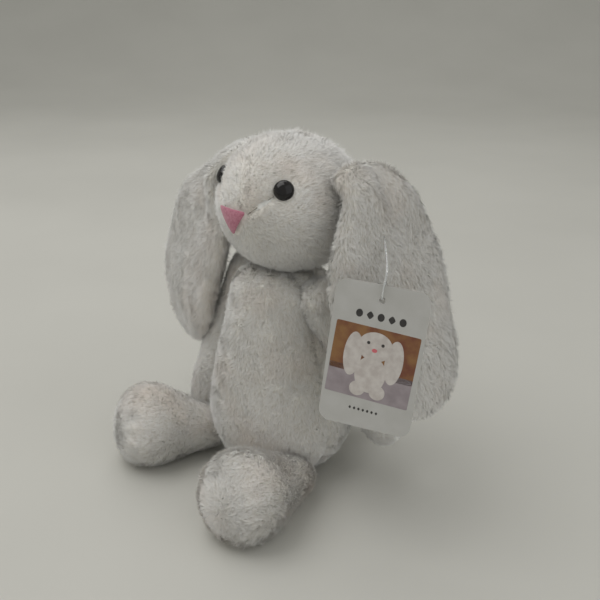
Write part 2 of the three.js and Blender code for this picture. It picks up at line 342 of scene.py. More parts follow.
@dataclass(frozen=True)
class Swelling:
    """How a sewn skin is blown up: voxel size and cap in metres, pressure in the cloth's own unit."""

    voxel: float = 4.2 * MM
    pressure: float = 4.0
    cap: float = 2.6 * MM
    frames: int = 20


def swell(obj: bpy.types.Object, how: Swelling) -> None:
    """Remeshes a closed body and lets cloth pressure fill it, each point moving no further than the cap.

    Args:
        obj: the closed skin, made a little smaller than it ends up.
        how: the sizes of the simulation.
    """
    remesh = obj.modifiers.new("remesh", "REMESH")
    remesh.mode = "VOXEL"
    remesh.voxel_size = how.voxel
    evaluated_copy(obj)
    start, _ = corners(obj.data)
    cloth = obj.modifiers.new("cloth", "CLOTH")
    cloth.settings.use_pressure = True
    cloth.settings.uniform_pressure_force = how.pressure
    cloth.settings.quality = 4
    cloth.settings.mass = 0.15
    cloth.settings.effector_weights.gravity = 0
    cloth.point_cache.frame_start = 1
    cloth.point_cache.frame_end = how.frames
    for number in range(1, how.frames + 1):
        bpy.context.scene.frame_set(number)
    evaluated_copy(obj)
    end, _ = corners(obj.data)
    move = end - start
    far = np.linalg.norm(move, axis=1, keepdims=True)
    move *= how.cap * np.tanh(far / how.cap) / np.maximum(far, 1e-9)
    obj.data.vertices.foreach_set("co", (start + move).ravel())
    bpy.context.scene.frame_set(1)
    subdivision = obj.modifiers.new("subdivision", "SUBSURF")
    subdivision.levels = subdivision.render_levels = 1
    evaluated_copy(obj)
    obj.data.polygons.foreach_set("use_smooth", [True] * len(obj.data.polygons))


def normals_of(mesh: bpy.types.Mesh) -> Array:
    """A mesh's point normals.

    Args:
        mesh: any mesh.

    Returns:
        One unit vector for each point, shape (n, 3).
    """
    flat = np.empty(len(mesh.vertices) * 3)
    mesh.vertices.foreach_get("normal", flat)
    return flat.reshape(-1, 3)


def press(obj: bpy.types.Object, depth: Callable[[Array], Array], floor: float = 0.4 * MM) -> None:
    """Moves each point of a skin inwards along its normal by a depth worked out from its place.

    Args:
        obj: the skin.
        depth: gives metres inwards for points of shape (n, 3).
        floor: no point ends up lower than this.
    """
    points, _ = corners(obj.data)
    points = points - normals_of(obj.data) * depth(points)[:, None]
    points[:, 2] = np.maximum(points[:, 2], floor)
    obj.data.vertices.foreach_set("co", points.ravel())
    obj.data.update()


# ---------------------------------------------------------------- finishes


def linear(hexed: str) -> tuple[float, float, float, float]:
    """An sRGB hex colour as linear red, green, blue and 1."""
    parts = [int(hexed[i : i + 2], 16) / 255 for i in (0, 2, 4)]
    return tuple(c / 12.92 if c <= 0.04045 else ((c + 0.055) / 1.055) ** 2.4 for c in parts) + (1.0,)


def add_node(
    tree: bpy.types.NodeTree, kind: str, settings: Optional[dict] = None, **inputs: object,
) -> bpy.types.Node:
    """Adds a node, sets its properties, and sets or links its inputs.

    Args:
        tree: the material's node tree.
        kind: the node's type name.
        settings: property names and values.
        inputs: socket names, with underscores for spaces, and values or sockets to link from. A name such as
            i0 means the first socket.

    Returns:
        The node.
    """
    node = tree.nodes.new(kind)
    for name, value in (settings or {}).items():
        setattr(node, name, value)
    for name, value in inputs.items():
        socket = node.inputs[int(name[1:])] if name[1:].isdigit() else node.inputs[name.replace("_", " ")]
        if isinstance(value, bpy.types.NodeSocket):
            tree.links.new(value, socket)
        else:
            socket.default_value = value
    return node


def new_material(name: str) -> tuple[bpy.types.Material, bpy.types.NodeTree, bpy.types.Node]:
    """A node material that holds one Principled shader, already linked to the output.

    Args:
        name: the material's name.

    Returns:
        The material, its node tree and the shader.
    """
    material = bpy.data.materials.new(name)
    material.use_nodes = True
    tree = material.node_tree
    tree.nodes.clear()
    shader = add_node(tree, "ShaderNodeBsdfPrincipled")
    add_node(tree, "ShaderNodeOutputMaterial", Surface=shader.outputs["BSDF"])
    return material, tree, shader


def noise_between(
    tree: bpy.types.NodeTree, grain_mm: float, low: object, high: object, detail: float = 3.0,
    span: tuple[float, float] = (0.35, 0.65),
) -> bpy.types.NodeSocket:
    """A colour that wanders between two others over a grain of so many millimetres.

    Args:
        tree: the material's node tree.
        grain_mm: size of the patches.
        low: linear colour, or socket, at the low end.
        high: linear colour, or socket, at the high end.
        detail: octaves of finer grain.
        span: the noise values that give the low and the high colour.

    Returns:
        The socket that carries the colour.
    """
    place = add_node(tree, "ShaderNodeTexCoord")
    noise = add_node(
        tree, "ShaderNodeTexNoise", Vector=place.outputs["Object"], Scale=1 / (grain_mm * MM), Detail=detail,
    )
    ramp = add_node(tree, "ShaderNodeMapRange", i0=noise.outputs["Fac"], i1=span[0], i2=span[1])
    mix = add_node(tree, "ShaderNodeMix", {"data_type": "RGBA"}, i0=ramp.outputs["Result"], i6=low, i7=high)
    return mix.outputs[2]


@dataclass(frozen=True)
class PlushPile:
    """Acrylic faux-fur pile: off-white fibres, with painted shade at the root, warmer and dimmer there for
    the shade deep in the coat.
    """

    name: str = "acrylic_plush_pile"
    # Painted shade: the root colour is darker and warmer than the tip, standing in for the shade deep in the
    # pile.
    root: str = "EBE3D5"
    tip: str = "FCFBF8"
    stain: str = "F6E9DF"

    def make(self) -> bpy.types.Material:
        """Builds the material: painted root shade to tip by the blade's own attribute, with a slow warm cast
        in patches.
        """
        material, tree, shader = new_material(self.name)
        # Painted shade: pile_shade darkens and warms the colour towards the root, for the shade deep in the
        # pile.
        shade = add_node(tree, "ShaderNodeAttribute", {"attribute_name": "pile_shade"})
        along = add_node(
            tree, "ShaderNodeMix", {"data_type": "RGBA"},
            i0=shade.outputs["Fac"], i6=linear(self.root), i7=linear(self.tip),
        )
        cast = noise_between(tree, 38, (1, 1, 1, 1), linear(self.stain), detail=2, span=(0.5, 0.75))
        tinted = add_node(
            tree, "ShaderNodeMix", {"data_type": "RGBA", "blend_type": "MULTIPLY"},
            i0=0.6, i6=along.outputs[2], i7=cast,
        )
        tree.links.new(tinted.outputs[2], shader.inputs["Base Color"])
        shader.inputs["Roughness"].default_value = 0.78
        shader.inputs["Specular IOR Level"].default_value = 0.25
        shader.inputs["Sheen Weight"].default_value = 1.0
        shader.inputs["Sheen Roughness"].default_value = 0.7
        return material


@dataclass(frozen=True)
class PlushBacking:
    """Knitted backing cloth under the pile: matt, slightly dim, with tufts drawn about 2.5 mm across."""

    name: str = "knitted_plush_backing"
    low: str = "E6E3DA"
    high: str = "F4F2EC"

    def make(self) -> bpy.types.Material:
        """Builds the material: tuft mottling in the colour and a matching bump."""
        material, tree, shader = new_material(self.name)
        colour = noise_between(tree, 2.5, linear(self.low), linear(self.high), detail=4)
        tree.links.new(colour, shader.inputs["Base Color"])
        place = add_node(tree, "ShaderNodeTexCoord")
        tufts = add_node(tree, "ShaderNodeTexNoise", Vector=place.outputs["Object"], Scale=1 / (1.6 * MM))
        bump = add_node(
            tree, "ShaderNodeBump", Strength=0.6, Distance=0.6 * MM, Height=tufts.outputs["Fac"],
        )
        tree.links.new(bump.outputs["Normal"], shader.inputs["Normal"])
        shader.inputs["Roughness"].default_value = 0.95
        shader.inputs["Sheen Weight"].default_value = 0.3
        return material


@dataclass(frozen=True)
class EyePlastic:
    """Moulded acrylic safety eye: polished black, so it holds one sharp window light and little else."""

    name: str = "moulded_black_acrylic"
    colour: str = "060506"
    haze: str = "120E0D"

    def make(self) -> bpy.types.Material:
        """Builds the material: black with a faint brown depth, finely scuffed."""
        material, tree, shader = new_material(self.name)
        colour = noise_between(tree, 3, linear(self.colour), linear(self.haze))
        tree.links.new(colour, shader.inputs["Base Color"])
        scuff = noise_between(tree, 0.8, (0.07, 0.07, 0.07, 1), (0.14, 0.14, 0.14, 1))
        tree.links.new(scuff, shader.inputs["Roughness"])
        shader.inputs["Specular IOR Level"].default_value = 0.45
        return material


@dataclass(frozen=True)
class NoseFelt:
    """Pressed pink felt: matt and fibrous, its fibres drawn 0.5 mm apart so that they show."""

    name: str = "pressed_pink_felt"
    low: str = "AC6278"
    high: str = "C07F90"

    def make(self) -> bpy.types.Material:
        """Builds the material: crossed fibres in the colour and the bump."""
        material, tree, shader = new_material(self.name)
        colour = noise_between(tree, 1.2, linear(self.low), linear(self.high), 6)
        tree.links.new(colour, shader.inputs["Base Color"])
        place = add_node(tree, "ShaderNodeTexCoord")
        fibres = add_node(
            tree, "ShaderNodeTexNoise", Vector=place.outputs["Object"], Scale=1 / (0.5 * MM), Detail=5.0,
        )
        bump = add_node(tree, "ShaderNodeBump", Strength=0.7, Distance=0.3 * MM, Height=fibres.outputs["Fac"])
        tree.links.new(bump.outputs["Normal"], shader.inputs["Normal"])
        shader.inputs["Roughness"].default_value = 0.92
        shader.inputs["Sheen Weight"].default_value = 0.5
        return material


@dataclass(frozen=True)
class SeamShadeThread:
    """Spun polyester thread pulled down into the pile: matt, its grey painted shade for the dark bottom of
    the seam.
    """

    name: str = "spun_thread_painted_seam_shade"
    # Painted shade: mid grey, far darker than the white pile, for the shade in the crease.
    low: str = "9A958B"
    high: str = "B2ADA3"

    def make(self) -> bpy.types.Material:
        """Builds the material: light and dark along the twist, 0.8 mm apart."""
        material, tree, shader = new_material(self.name)
        colour = noise_between(tree, 0.8, linear(self.low), linear(self.high))
        tree.links.new(colour, shader.inputs["Base Color"])
        shader.inputs["Roughness"].default_value = 0.9
        return material


@dataclass(frozen=True)
class Inked:
    """Coated card stock or ink printed on it: smooth, faintly mottled paper under a thin satin varnish."""

    name: str
    low: str
    high: str
    grain_mm: float = 6.0
    roughness: float = 0.38

    def make(self) -> bpy.types.Material:
        """Builds the material: two near tones in soft patches, and a paper-fibre bump 0.3 mm apart."""
        material, tree, shader = new_material(self.name)
        colour = noise_between(tree, self.grain_mm, linear(self.low), linear(self.high))
        tree.links.new(colour, shader.inputs["Base Color"])
        place = add_node(tree, "ShaderNodeTexCoord")
        fibre = add_node(tree, "ShaderNodeTexNoise", Vector=place.outputs["Object"], Scale=1 / (0.3 * MM))
        bump = add_node(
            tree, "ShaderNodeBump", Strength=0.12, Distance=0.05 * MM, Height=fibre.outputs["Fac"],
        )
        tree.links.new(bump.outputs["Normal"], shader.inputs["Normal"])
        shader.inputs["Roughness"].default_value = self.roughness
        shader.inputs["Coat Weight"].default_value = 0.25
        shader.inputs["Coat Roughness"].default_value = 0.2
        return material


@dataclass(frozen=True)
class ClearNylon:
    """Moulded clear nylon: a pale thread that passes most light and catches it along its edges."""

    name: str = "moulded_clear_nylon"

    def make(self) -> bpy.types.Material:
        """Builds the material: near white, partly transmitting, with slightly uneven gloss."""
        material, tree, shader = new_material(self.name)
        rough = noise_between(tree, 2, (0.18, 0.18, 0.18, 1), (0.3, 0.3, 0.3, 1))
        tree.links.new(rough, shader.inputs["Roughness"])
        shader.inputs["Base Color"].default_value = linear("F2F4F4")
        shader.inputs["Transmission Weight"].default_value = 0.55
        shader.inputs["IOR"].default_value = 1.53
        return material


@dataclass(frozen=True)
class Filling:
    """What is inside: polyester fibre, a pellet bag or a moulded washer, as a mottled matt solid."""

    name: str
    low: str
    high: str
    grain_mm: float

    def make(self) -> bpy.types.Material:
        """Builds the material: two near tones over the filling's own grain."""
        material, tree, shader = new_material(self.name)
        colour = noise_between(tree, self.grain_mm, linear(self.low), linear(self.high))
        tree.links.new(colour, shader.inputs["Base Color"])
        shader.inputs["Roughness"].default_value = 0.9
        return material


# ---------------------------------------------------------------- pile


@dataclass(frozen=True)
class Coat:
    """How thick and long a stretch of pile is, and how its blades vary.

    Sizes are in metres, density in blades per square millimetre and angles in degrees. slow_swirl, crinkle
    and scatter say how far the combing wanders over 16 mm, over 4 mm and from blade to blade. root_lean and
    tip_lean are shares of the lean in each half of a blade, and mid_pull and tip_pull are how far a tuft
    draws it in.
    """

    length: float = 5.2 * MM
    width: float = 0.32 * MM
    density: float = 3.5
    lean: float = 62.0
    tuft: float = 3.5 * MM
    crinkle: float = 0.4
    stray: float = 0.05
    slow_swirl: float = 0.45
    scatter: float = 0.35
    lean_drift: float = 8.0
    lean_scatter: float = 7.0
    root_lean: float = 0.78
    tip_lean: float = 1.2
    mid_pull: float = 0.08
    tip_pull: float = 0.16
    rooted: float = 0.4 * MM
    roll: float = 11.0


# Three triangles a blade keep a piece under 200,000.
MAX_BLADES = 65000


class Pile:
    """Grows blades of pile on finished skins."""

    def __init__(self, material: bpy.types.Material) -> None:
        """Keeps the material that all the pile shares."""
        self.material = material
        self.seed = 11

    def grow(
        self, skin: bpy.types.Object, body: str, coat: Coat, flow: Callable[[Array, Array], Array],
        keep: Optional[Callable[[Array], Array]] = None,
    ) -> list[bpy.types.Object]:
        """Covers a skin in blades and makes them ride on a body.

        Blade roots are scattered evenly by area. A blade starts near the normal, then leans over along the
        flow, which swirls bend, and its tip is drawn towards its tuft's centre. Its flat side faces out.

        Args:
            skin: the finished skin.
            body: the CAD body that the skin rides on.
            coat: the pile's sizes.
            flow: gives the combing direction for roots and normals of shape (n, 3).
            keep: gives each root's share of full length, where 0 leaves the blade out.

        Returns:
            The new objects, each small enough to keep whole.
        """
        self.seed += 1
        rng = np.random.default_rng(self.seed)
        roots, normals = self._roots(skin.data, coat, rng)
        share = np.ones(len(roots)) if keep is None else keep(roots)
        share = np.where((normals[:, 2] < -0.6) & (roots[:, 2] < 3 * MM), 0, share)
        alive = share > 0.05
        roots, normals, share = roots[alive], normals[alive], share[alive]
        blades = self._blades(roots, normals, share, coat, flow, rng)
        name = skin.name.replace("_cover", "_pile")
        parts = max(1, math.ceil(len(roots) / MAX_BLADES))
        made = []
        for part in range(parts):
            tail = f"_{part + 1}" if parts > 1 else ""
            obj = self._mesh(name + tail, blades[part::parts], rng)
            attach(obj, body)
            made.append(obj)
            LOG.info("%s: %d blades", obj.name, len(blades[part::parts]))
        return made

    def _roots(self, mesh: bpy.types.Mesh, coat: Coat, rng: np.random.Generator) -> tuple[Array, Array]:
        """Roots scattered by area on a mesh's triangles.

        Args:
            mesh: the skin's mesh.
            coat: the pile's sizes.
            rng: where the random numbers come from.

        Returns:
            The roots and the blended normals there, each of shape (n, 3).
        """
        points, tris = corners(mesh)
        normals = normals_of(mesh)
        a, b, c = (points[tris[:, k]] for k in range(3))
        area = np.linalg.norm(np.cross(b - a, c - a), axis=1) / 2
        density = coat.density * 1.0
        count = int(area.sum() / MM**2 * density)
        pick = np.searchsorted(np.cumsum(area) / area.sum(), rng.random(count))
        pick = np.minimum(pick, len(tris) - 1)
        u, v = rng.random(count), rng.random(count)
        over = u + v > 1
        u, v = np.where(over, 1 - u, u), np.where(over, 1 - v, v)
        w = np.stack([1 - u - v, u, v], -1)
        roots = np.einsum("nk,nkj->nj", w, points[tris[pick]])
        return roots, unit(np.einsum("nk,nkj->nj", w, normals[tris[pick]]))

    def _blades(
        self, roots: Array, normals: Array, share: Array, coat: Coat,
        flow: Callable[[Array, Array], Array], rng: np.random.Generator,
    ) -> Array:
        """Shapes the blades.

        A blade is shaded close to the skin's own way out, as a soft coat is, so that the pile reads as one
        surface and not as straw.

        Args:
            roots: where the blades start, shape (n, 3).
            normals: the skin's way out there, shape (n, 3).
            share: each blade's share of full length, shape (n,).
            coat: the pile's sizes.
            flow: gives the combing direction.
            rng: where the random numbers come from.

        Returns:
            For each blade two corners at the root, two midway, the tip and its shading direction, shape
            (n, 6, 3).
        """
        count = len(roots)
        comb = unit(flow(roots, normals))
        comb = comb + coat.slow_swirl * swirl(roots, 16 * MM, self.seed)
        comb = comb + coat.crinkle * swirl(roots, 4 * MM, self.seed + 50)
        comb = comb + coat.scatter * rng.normal(size=(count, 3))
        comb = unit(comb - normals * np.einsum("ij,ij->i", comb, normals)[:, None])
        drift = coat.lean_drift * swirl(roots, 9 * MM, self.seed + 90)[:, 0]
        lean = np.radians(coat.lean + drift + coat.lean_scatter * rng.normal(size=count))
        lean = np.clip(lean, 0.15, 1.35)[:, None]
        lean = np.where(rng.random((count, 1)) < coat.stray, 0.4 * lean, lean)
        first = normals * np.cos(coat.root_lean * lean) + comb * np.sin(coat.root_lean * lean)
        second = normals * np.cos(coat.tip_lean * lean) + comb * np.sin(coat.tip_lean * lean)
        length = coat.length * share * (0.8 + 0.25 * rng.random(count))
        length = length * (1 + 0.16 * swirl(roots, 7 * MM, self.seed + 20)[:, 1])
        half = length[:, None] / 2
        tuft = to_tuft(roots, coat.tuft, self.seed)
        tuft = tuft - normals * np.einsum("ij,ij->i", tuft, normals)[:, None]
        base = roots - normals * coat.rooted
        middle = base + first * half + coat.mid_pull * tuft
        tip = middle + second * half + coat.tip_pull * tuft
        roll = np.radians(coat.roll) * rng.normal(size=count)[:, None]
        side = unit(np.cross(first, normals))
        side = side * np.cos(roll) + np.cross(first, side) * np.sin(roll)
        wide = side * coat.width / 2
        blade = np.stack([base - wide, base + wide, middle - 0.8 * wide, middle + 0.8 * wide, tip], 1)
        blade[..., 2] = np.maximum(blade[..., 2], 0.2 * MM)
        face = np.cross(blade[:, 1] - blade[:, 0], blade[:, 2] - blade[:, 0])
        wrong = np.einsum("ij,ij->i", face, normals) < 0
        blade[wrong] = blade[wrong][:, [1, 0, 3, 2, 4]]
        soft = unit(normals + 0.22 * comb + 0.13 * rng.normal(size=(count, 3)) + 0.05 * tuft / MM)
        return np.concatenate([blade, soft[:, None, :]], 1)

    def _mesh(self, name: str, blades: Array, rng: np.random.Generator) -> bpy.types.Object:
        """One mesh object that holds many blades, with the painted root shade and random tone of each corner
        and a map for baking.

        Args:
            name: the piece's name.
            blades: corners and shading directions, shape (n, 6, 3).
            rng: where the random numbers come from.

        Returns:
            The new object.
        """
        count = len(blades)
        points = blades[:, :5].reshape(-1, 3)
        mesh = bpy.data.meshes.new(name)
        mesh.vertices.add(count * 5)
        mesh.vertices.foreach_set("co", points.ravel())
        pattern = np.array([0, 1, 3, 2, 2, 3, 4])
        loops = (np.arange(count)[:, None] * 5 + pattern).ravel()
        mesh.loops.add(count * 7)
        mesh.loops.foreach_set("vertex_index", loops)
        mesh.polygons.add(count * 2)
        starts = (np.arange(count)[:, None] * 7 + np.array([0, 4])).ravel()
        mesh.polygons.foreach_set("loop_start", starts)
        mesh.polygons.foreach_set("use_smooth", [True] * (count * 2))
        mesh.update(calc_edges=True)
        mesh.normals_split_custom_set_from_vertices(np.repeat(blades[:, 5], 5, axis=0).tolist())
        # pile_shade: 0 at the root, which is painted shade, to 1 at the tip, plus a random tone for each
        # blade.
        shade = np.array([0.0, 0.0, 0.75, 0.75, 1.0]) + 0.18 * rng.normal(size=(count, 1))
        attribute = mesh.attributes.new("pile_shade", "FLOAT", "POINT")
        attribute.data.foreach_set("value", np.clip(shade, 0, 1).ravel())
        centre = points.mean(0)
        way = points - centre
        u = np.arctan2(way[:, 1], way[:, 0]) / (2 * math.pi) + 0.5
        v = (points[:, 2] - points[:, 2].min()) / max(np.ptp(points[:, 2]), 1e-6)
        layer = mesh.uv_layers.new(name="OFBake")
        layer.data.foreach_set("uv", np.stack([u, v], -1)[loops].ravel())
        obj = bpy.data.objects.new(name, mesh)
        bpy.context.collection.objects.link(obj)
        mesh.materials.append(self.material)
        return obj


# ---------------------------------------------------------------- the bunny


@dataclass
class Workshop:
    """The finishes and the pile maker that every sub-assembly shares."""

    backing: bpy.types.Material
    pile: Pile

    def cover(self, obj: bpy.types.Object, body: str, replaced: Sequence[str], fill: float) -> None:
        """Args:
            obj: the skin.
            body: the CAD body that it rides on.
            replaced: the CAD nodes that it stands for.
            fill: how full it is stuffed, from 0 to 1; not used.
        """
        obj.data.materials.clear()
        obj.data.materials.append(self.backing)
        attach(obj, body)
        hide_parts(*replaced)
        LOG.info("%s covers %s", obj.name, ", ".join(replaced))


def along(way: Array) -> Callable[[Array, Array], Array]:
    """Combing in one direction everywhere, as a function of roots and normals."""
    return lambda points, normals: np.broadcast_to(way, points.shape)


@dataclass
class Torso:
    """The pear-shaped body with side seams, and the round tail. Outline in millimetres: (radius, height)."""

    shop: Workshop
    knots: tuple = (
        (0, 0.6), (16, 0.7), (26, 2.8), (34.5, 9), (41.5, 18.5), (46, 31), (47.2, 44), (45.8, 60),
        (42.4, 78), (38.4, 95), (35, 110), (32.8, 121), (30.5, 130), (21.5, 138.5), (0, 142),
    )
    seam_depth: float = 2.4 * MM
    seam_width: float = 3.2 * MM

    def seam(self, points: Array) -> Array:
        """The two side seams, a groove where the front and back panels meet near Y = 0.

        Args:
            points: shape (n, 3).

        Returns:
            Depth of the groove at each point, in metres.
        """
        near = np.abs(points[:, 1] + 0.04 * points[:, 2])
        sideways = smooth_step(np.abs(points[:, 0]), 8 * MM, 20 * MM)
        return self.seam_depth * np.exp(-((near / self.seam_width) ** 2)) * sideways

    def build(self) -> None:
        """Makes the body and the tail."""
        radius, height = outline(self.knots, 48)
        skin = loft("body_cover", np.outer(height, UP), LEFTWARDS, BACKWARDS, radius, radius, 48)
        swell(skin, Swelling(cap=1.6 * MM))
        press(skin, self.seam)
        self.shop.cover(skin, "torso", ["body_skin"], fill=0.85)
        coat = Coat(length=4.6 * MM, crinkle=1.3, density=3.2)
        self.shop.pile.grow(skin, "torso", coat, along(-UP), self.parting)
        self.tail()

    def parting(self, points: Array) -> Array:
        """Share of full length left to the pile, which lies lower along the side seams."""
        return 1 - 0.45 * self.seam(points) / self.seam_depth

    def tail(self) -> None:
        """A ball of plush at the back, squashed a little where it is sewn on."""
        low, high = node_box("tail_skin")
        centre, radius = (low + high) / 2, (high - low) / 2
        turn = np.linspace(0, math.pi, 18)
        centres = centre + np.outer(-np.cos(turn) * (radius[1] + 1 * MM), BACKWARDS)
        girth = np.sin(turn) * (radius[0] - 0.6 * MM)
        skin = loft("tail_cover", centres, LEFTWARDS, UP, girth, girth, 24)
        swell(skin, Swelling(voxel=3 * MM, cap=1 * MM))
        self.shop.cover(skin, "torso", ["tail_skin"], fill=0.8)
        droop = 8 * MM * UP
        coat = Coat(length=7.5 * MM, lean=42)
        self.shop.pile.grow(skin, "torso", coat, lambda p, n: p - centre - droop)


@dataclass
class Head:
    """The round head with its face seams, eyes and nose."""

    shop: Workshop
    eye_material: bpy.types.Material
    felt: bpy.types.Material
    seam_shade_material: bpy.types.Material
    thread: float = 0.5 * MM
    dart_depth: float = 3.0 * MM
    dart_width: float = 2.4 * MM
    eye_radius: float = 6.0 * MM
    nose_half: float = 11.2 * MM
    nose_rise: float = 1.3 * MM
    nose_spread: float = 1.12

    def __post_init__(self) -> None:
        """Takes the head's centre and half sizes from its CAD skin, which the neck hole cuts underneath."""
        low, high = node_box("head_skin")
        half = (high - low) / 2
        self.radii = np.array([half[0], half[1], 41.5 * MM])
        self.centre = np.array([0, (low[1] + high[1]) / 2, high[2] - self.radii[2]])
        low, high = node_box("nose")
        self.nose_centre = np.array([0, low[1], high[2] - 5.2 * MM])
        self.nose_box = (low, high)

    def eye(self, side: Side) -> tuple[Array, Array]:
        """Finds an eye on the head.

        Args:
            side: which eye.

        Returns:
            The top of its dome, and the way that it faces.
        """
        points = node_points(f"eye_{side.value}")
        middle = (points.min(0) + points.max(0)) / 2
        facing = unit(unit((middle - self.centre) / self.radii) / self.radii)
        top = points[np.argmax((points - self.centre) @ facing)]
        return top, facing

    def seam_line(self, side: Side) -> tuple[Array, Array]:
        """Where a face seam starts beside the nose, and the straight way from there to the eye."""
        eye, _ = self.eye(side)
        start = self.nose_centre + np.array([side.sign * self.nose_half * 0.9, 0, 2 * MM])
        return start, eye - start

    def dart(self, points: Array) -> Array:
        """The face seams, from each side of the nose out and up to under the eye, measured along the skin.

        Args:
            points: shape (n, 3).

        Returns:
            Share of the seams' full depth at each point, from 0 to 1.
        """
        out = np.zeros(len(points))
        for side in Side:
            start, line = self.seam_line(side)
            t = np.clip(((points - start) @ line) / (line @ line), 0, 1)
            nearest = start + t[:, None] * line
            out_way = unit((nearest - self.centre) / self.radii**2)
            offset = points - nearest
            above = np.einsum("ij,ij->i", offset, out_way)
            far = np.linalg.norm(offset - above[:, None] * out_way, axis=1)
            near_surface = np.exp(-((far / self.dart_width) ** 2)) * (above > -self.radii[0] / 2)
            out = np.maximum(out, near_surface * (0.4 + 0.6 * np.sin(math.pi * np.clip(t, 0.05, 0.95))))
        return out

    def shape(self, points: Array) -> Array:
        """How far the head is pressed in by its face seams and its shallow eye sockets.

        Args:
            points: shape (n, 3).

        Returns:
            Depth at each point, in metres.
        """
        depth = self.dart_depth * self.dart(points)
        for side in Side:
            eye, _ = self.eye(side)
            far = np.linalg.norm(points - eye, axis=1)
            depth += 1.1 * MM * np.exp(-((far / (9 * MM)) ** 2))
        return depth

    def build(self) -> None:
        """Makes the head's cover, pile, eyes and nose."""
        rows = 34
        turn = np.linspace(0, math.pi, rows)
        swollen = 1 - 0.8 * MM / self.radii.mean()
        centres = self.centre + np.outer(-np.cos(turn) * self.radii[2] * swollen, UP)
        full = np.sin(turn) ** 0.96
        wide, deep = full * self.radii[0] * swollen, full * self.radii[1] * swollen
        skin = loft("head_cover", centres, LEFTWARDS, BACKWARDS, wide, deep, 48)
        swell(skin, Swelling(cap=1.6 * MM))
        press(skin, self.shape)
        self.shop.cover(skin, "head", ["head_skin"], fill=0.9)
        self.shop.pile.grow(skin, "head", Coat(crinkle=0.6), self.flow, self.clear)
        for side in Side:
            self.dome(side)
            self.seam(side, skin)
        self.patch()

    def flow(self, points: Array, normals: Array) -> Array:
        """Combing back from the nose and a little down."""
        away = points - self.nose_centre - np.array([0, 6 * MM, 0])
        return unit(away) - 0.25 * UP

    def clear(self, points: Array) -> Array:
        """Trims the pile: short on the muzzle, shorter round the eyes and in the seams, none under the nose.

        Args:
            points: the blades' roots, shape (n, 3).

        Returns:
            Each blade's share of full length.
        """
        from_nose = np.linalg.norm(points - self.nose_centre, axis=1)
        share = 0.7 + 0.6 * smooth_step(from_nose, 12 * MM, 75 * MM)
        for side in Side:
            eye, _ = self.eye(side)
            far = np.linalg.norm(points - eye, axis=1)
            trimmed = 0.5 + 0.5 * smooth_step(far, 7 * MM, 13 * MM)
            share = share * trimmed * (far > self.eye_radius + 1.2 * MM)
        share = share * (1 - 0.8 * self.dart(points) ** 2) * (self.dart(points) < 0.86)
        under = (np.abs(points[:, 0]) < self.nose_half) & (points[:, 1] < self.centre[1])
        return np.where(under & self.in_nose(points, 0.4 * MM), 0, share)

    def seam(self, side: Side, skin: bpy.types.Object) -> None:
        """The sewn thread at the bottom of a face seam, from beside the nose to under the eye, grey with
        painted shade to draw the crease's dark line.

        Args:
            side: which seam.
            skin: the head's finished cover, on which the thread is laid.
        """
        count = 24
        start, line = self.seam_line(side)
        centres = []
        for share in np.linspace(0.04, 0.8, count):
            outward = unit(start + share * line - self.centre)
            _, spot, _, _ = skin.ray_cast(self.centre.tolist(), outward.tolist())
            centres.append(np.array(spot) + 0.3 * self.thread * outward)
        centres = np.array(centres)
        way = unit(np.gradient(centres, axis=0))
        over = unit(centres - self.centre)
        across = unit(np.cross(way, over))
        girth = self.thread * np.sqrt(np.sin(np.linspace(0.06, math.pi - 0.06, count)))
        thread = loft(f"face_seam_{side.value}", centres, across, np.cross(across, way), girth, girth, 10)
        # Its grey material is painted shade of the crease, not the thread's own colour.
        thread.data.materials.append(self.seam_shade_material)
        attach(thread, "head")
        LOG.info("%s", thread.name)

    def in_nose(self, points: Array, margin: float) -> Array:
        """Finds the points under the nose, seen from the front.

        Args:
            points: shape (n, 3).
            margin: how far past the nose's edge still counts, in metres.

        Returns:
            True or false for each point.
        """
        low, high = self.nose_box
        share = (high[2] - points[:, 2]) / (high[2] - low[2])
        half = (high[0] - low[0]) / 2 * (1 - 0.86 * share) + margin
        return (share > -0.02) & (share < 0.96) & (np.abs(points[:, 0]) < half)

    def dome(self, side: Side) -> None:
        """An eye: a low polished dome with a rolled rim, sunk a little into the cloth.

        Args:
            side: which eye.
        """
        top, facing = self.eye(side)
        turn = np.linspace(0, math.pi, 18)
        height = 3.9 * MM
        sunk = 2.2 * MM
        top = top - facing * sunk
        over = unit(np.cross(facing, np.cross(UP, facing)))
        across = np.cross(over, facing)
        rise = np.where(turn > math.pi / 2, -np.cos(turn) * height, -np.cos(turn) * 1.1 * MM)
        centres = top - facing * height + np.outer(rise, facing)
        girth = np.sin(turn) ** 0.8 * self.eye_radius
        eye = loft(f"eye_dome_{side.value}", centres, across, over, girth, girth, 40)
        eye.data.materials.append(self.eye_material)
        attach(eye, "head")
        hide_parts(f"eye_{side.value}")
        LOG.info("%s", eye.name)

